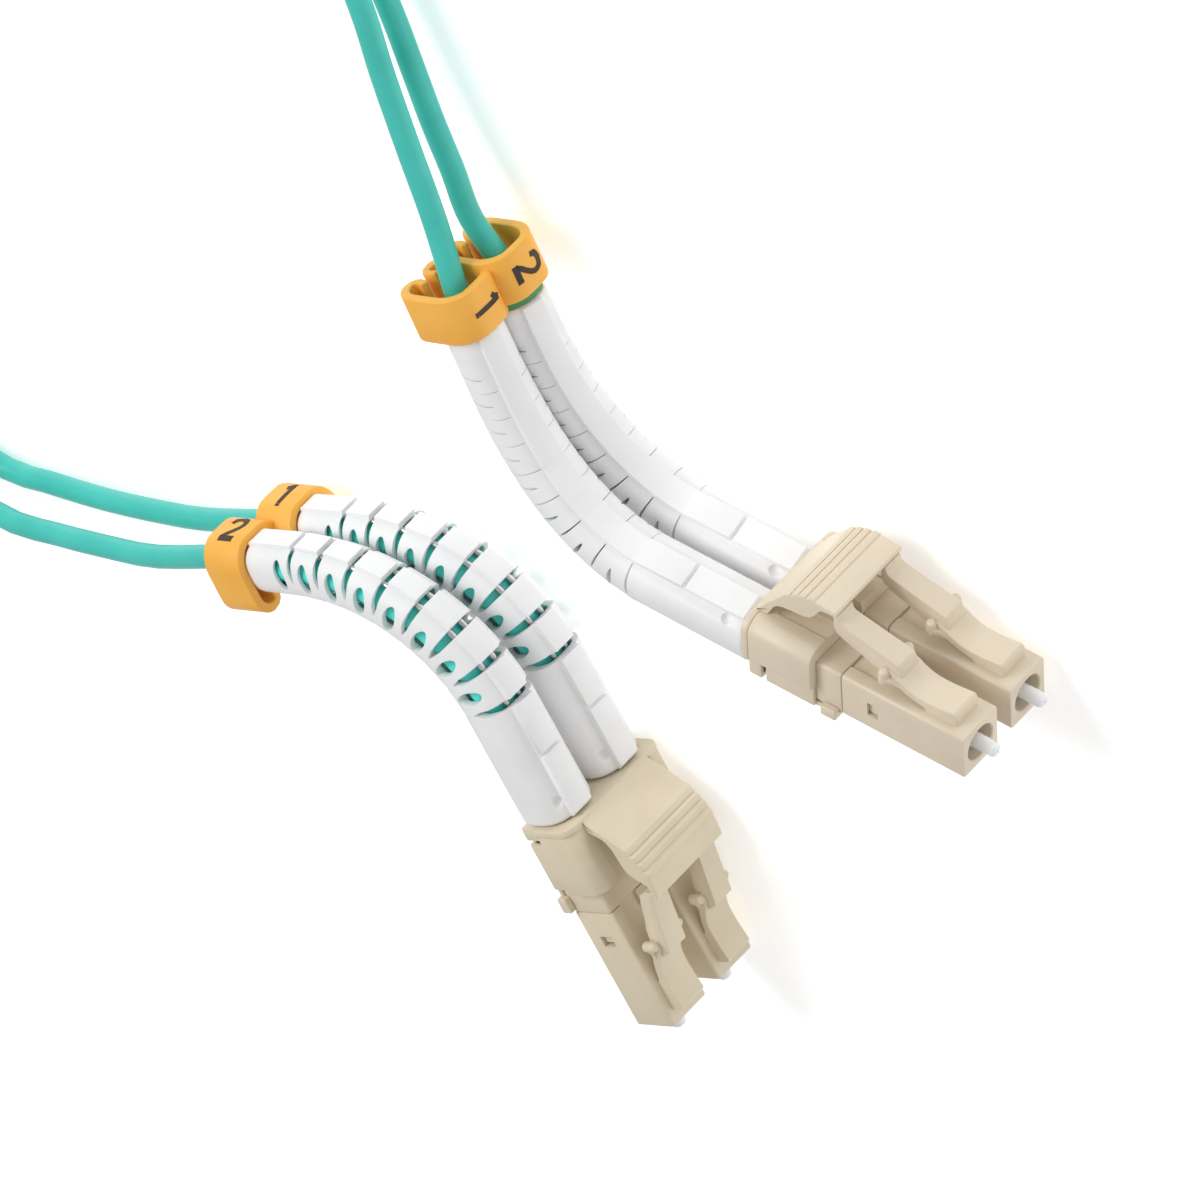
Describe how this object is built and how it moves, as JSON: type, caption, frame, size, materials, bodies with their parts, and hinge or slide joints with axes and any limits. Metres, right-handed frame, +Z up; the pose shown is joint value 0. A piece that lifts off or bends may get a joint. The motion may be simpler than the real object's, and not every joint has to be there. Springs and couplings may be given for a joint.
{
  "type": "fiber optic patch cord",
  "caption": "Duplex fibre patch cord with LC plugs, latches joined by a thumb lever, bendable slit boots, numbered channel markers and a coiled twin cable.",
  "frame": {"origin": "on the lower flat cheek of the clip at the end called A, on its plugs' centre plane", "axes": "+X forward out of End A's plugs, +Y towards their latches, +Z up off the surface that the cord lies on"},
  "size_m": [0.1336, 0.1446, 0.0125],
  "materials": {
    "beige": "satin moulded plastic",
    "boot_white": "soft white moulded plastic",
    "aqua": "smooth extruded jacket",
    "marker_yellow": "satin moulded plastic with a dark printed digit",
    "band_green": "satin",
    "ceramic": "polished zirconia",
    "steel": "bright drawn wire",
    "brass": "turned",
    "nickel": "nickel plated",
    "tie_black": "matt hook-and-loop"
  },
  "bodies": {
    "cord": {"leg_a1": "aqua", "leg_a2": "aqua", "leg_b1": "aqua", "leg_b2": "aqua", "coil": "aqua", "coil_tie": "tie_black", "marker_a1": "marker_yellow", "marker_a2": "marker_yellow", "marker_b1": "marker_yellow", "marker_b2": "marker_yellow", "green_band": "band_green"},
    "boot_mid_a": {"boot_a1": "boot_white", "boot_wire_a1": "steel", "cable_in_boot_a1": "aqua", "boot_a2": "boot_white", "boot_wire_a2": "steel", "cable_in_boot_a2": "aqua"},
    "connector_a": {"clip_body_a": "beige", "plug_housing_a1": "beige", "rear_body_a1": "beige", "crimp_body_a1": "nickel", "crimp_sleeve_a1": "nickel", "spring_a1": "steel", "plug_housing_a2": "beige", "rear_body_a2": "beige", "crimp_body_a2": "nickel", "crimp_sleeve_a2": "nickel", "spring_a2": "steel"},
    "lever_a": {"clip_lever_a": "beige"},
    "latch_body_a1": {"latch_a1": "beige"},
    "ferrule_body_a1": {"ferrule_a1": "ceramic", "flange_a1": "brass"},
    "latch_body_a2": {"latch_a2": "beige"},
    "ferrule_body_a2": {"ferrule_a2": "ceramic", "flange_a2": "brass"},
    "boot_mid_b": {"boot_b1": "boot_white", "boot_wire_b1": "steel", "cable_in_boot_b1": "aqua", "boot_b2": "boot_white", "boot_wire_b2": "steel", "cable_in_boot_b2": "aqua"},
    "connector_b": {"clip_body_b": "beige", "plug_housing_b1": "beige", "rear_body_b1": "beige", "crimp_body_b1": "nickel", "crimp_sleeve_b1": "nickel", "spring_b1": "steel", "plug_housing_b2": "beige", "rear_body_b2": "beige", "crimp_body_b2": "nickel", "crimp_sleeve_b2": "nickel", "spring_b2": "steel"},
    "lever_b": {"clip_lever_b": "beige"},
    "latch_body_b1": {"latch_b1": "beige"},
    "ferrule_body_b1": {"ferrule_b1": "ceramic", "flange_b1": "brass"},
    "latch_body_b2": {"latch_b2": "beige"},
    "ferrule_body_b2": {"ferrule_b2": "ceramic", "flange_b2": "brass"}
  },
  "joints": [
    {"name": "boot_bend_tail_a", "type": "hinge", "parent": "cord", "child": "boot_mid_a", "pos_m": [-0.02739, 0.01084, 0.00622], "axis": [0, 0, 1], "range_deg": [-26, 10], "deforming": ["boot_a1", "boot_wire_a1", "cable_in_boot_a1", "boot_a2", "boot_wire_a2", "cable_in_boot_a2"]},
    {"name": "boot_bend_head_a", "type": "hinge", "parent": "boot_mid_a", "child": "connector_a", "pos_m": [-0.02026, 0.00193, 0.00622], "axis": [0, 0, 1], "range_deg": [-26, 10], "deforming": ["boot_a1", "boot_wire_a1", "cable_in_boot_a1", "boot_a2", "boot_wire_a2", "cable_in_boot_a2"]},
    {"name": "lever_press_a", "type": "hinge", "parent": "connector_a", "child": "lever_a", "pos_m": [-0.00248, 0.00368, 0.00622], "axis": [0, 0, -1], "range_deg": [0, 10], "stiffness_Nm_per_rad": 0.004, "springref_deg": -2.86},
    {"name": "latch_press_a1", "type": "hinge", "parent": "connector_a", "child": "latch_body_a1", "pos_m": [0.01317, 0.003, 0.00935], "axis": [0, 0, 1], "range_deg": [0, 8], "stiffness_Nm_per_rad": 0.004},
    {"name": "ferrule_float_a1", "type": "slide", "parent": "connector_a", "child": "ferrule_body_a1", "axis": [-1, 0, 0], "range_m": [0, 0.001], "stiffness_N_per_m": 2500, "springref_m": -0.002, "deforming": ["spring_a1"]},
    {"name": "latch_press_a2", "type": "hinge", "parent": "connector_a", "child": "latch_body_a2", "pos_m": [0.01317, 0.003, 0.0031], "axis": [0, 0, 1], "range_deg": [0, 8], "stiffness_Nm_per_rad": 0.004},
    {"name": "ferrule_float_a2", "type": "slide", "parent": "connector_a", "child": "ferrule_body_a2", "axis": [-1, 0, 0], "range_m": [0, 0.001], "stiffness_N_per_m": 2500, "springref_m": -0.002, "deforming": ["spring_a2"]},
    {"name": "boot_bend_tail_b", "type": "hinge", "parent": "cord", "child": "boot_mid_b", "pos_m": [-0.04649, -0.01916, 0.00622], "axis": [0, 0, 1], "range_deg": [-4, 26], "deforming": ["boot_b1", "boot_wire_b1", "cable_in_boot_b1", "boot_b2", "boot_wire_b2", "cable_in_boot_b2"]},
    {"name": "boot_bend_head_b", "type": "hinge", "parent": "boot_mid_b", "child": "connector_b", "pos_m": [-0.03491, -0.02214, 0.00622], "axis": [0, 0, 1], "range_deg": [-4, 26], "deforming": ["boot_b1", "boot_wire_b1", "cable_in_boot_b1", "boot_b2", "boot_wire_b2", "cable_in_boot_b2"]},
    {"name": "lever_press_b", "type": "hinge", "parent": "connector_b", "child": "lever_b", "pos_m": [-0.0219, -0.03486, 0.00622], "axis": [0, 0, -1], "range_deg": [0, 10], "stiffness_Nm_per_rad": 0.004, "springref_deg": -2.86},
    {"name": "latch_press_b1", "type": "hinge", "parent": "connector_b", "child": "latch_body_b1", "pos_m": [-0.01461, -0.04872, 0.0031], "axis": [0, 0, 1], "range_deg": [0, 8], "stiffness_Nm_per_rad": 0.004},
    {"name": "ferrule_float_b1", "type": "slide", "parent": "connector_b", "child": "ferrule_body_b1", "axis": [-0.5036, 0.8639, 0], "range_m": [0, 0.001], "stiffness_N_per_m": 2500, "springref_m": -0.002, "deforming": ["spring_b1"]},
    {"name": "latch_press_b2", "type": "hinge", "parent": "connector_b", "child": "latch_body_b2", "pos_m": [-0.01461, -0.04872, 0.00935], "axis": [0, 0, 1], "range_deg": [0, 8], "stiffness_Nm_per_rad": 0.004},
    {"name": "ferrule_float_b2", "type": "slide", "parent": "connector_b", "child": "ferrule_body_b2", "axis": [-0.5036, 0.8639, 0], "range_m": [0, 0.001], "stiffness_N_per_m": 2500, "springref_m": -0.002, "deforming": ["spring_b2"]}
  ],
  "couplings": [
    {"joint": "boot_bend_head_a", "follows": "boot_bend_tail_a", "ratio": 1},
    {"joint": "latch_press_a1", "follows": "lever_press_a", "ratio": 0.78},
    {"joint": "latch_press_a2", "follows": "lever_press_a", "ratio": 0.78},
    {"joint": "boot_bend_head_b", "follows": "boot_bend_tail_b", "ratio": 1},
    {"joint": "latch_press_b1", "follows": "lever_press_b", "ratio": 0.78},
    {"joint": "latch_press_b2", "follows": "lever_press_b", "ratio": 0.78}
  ]
}
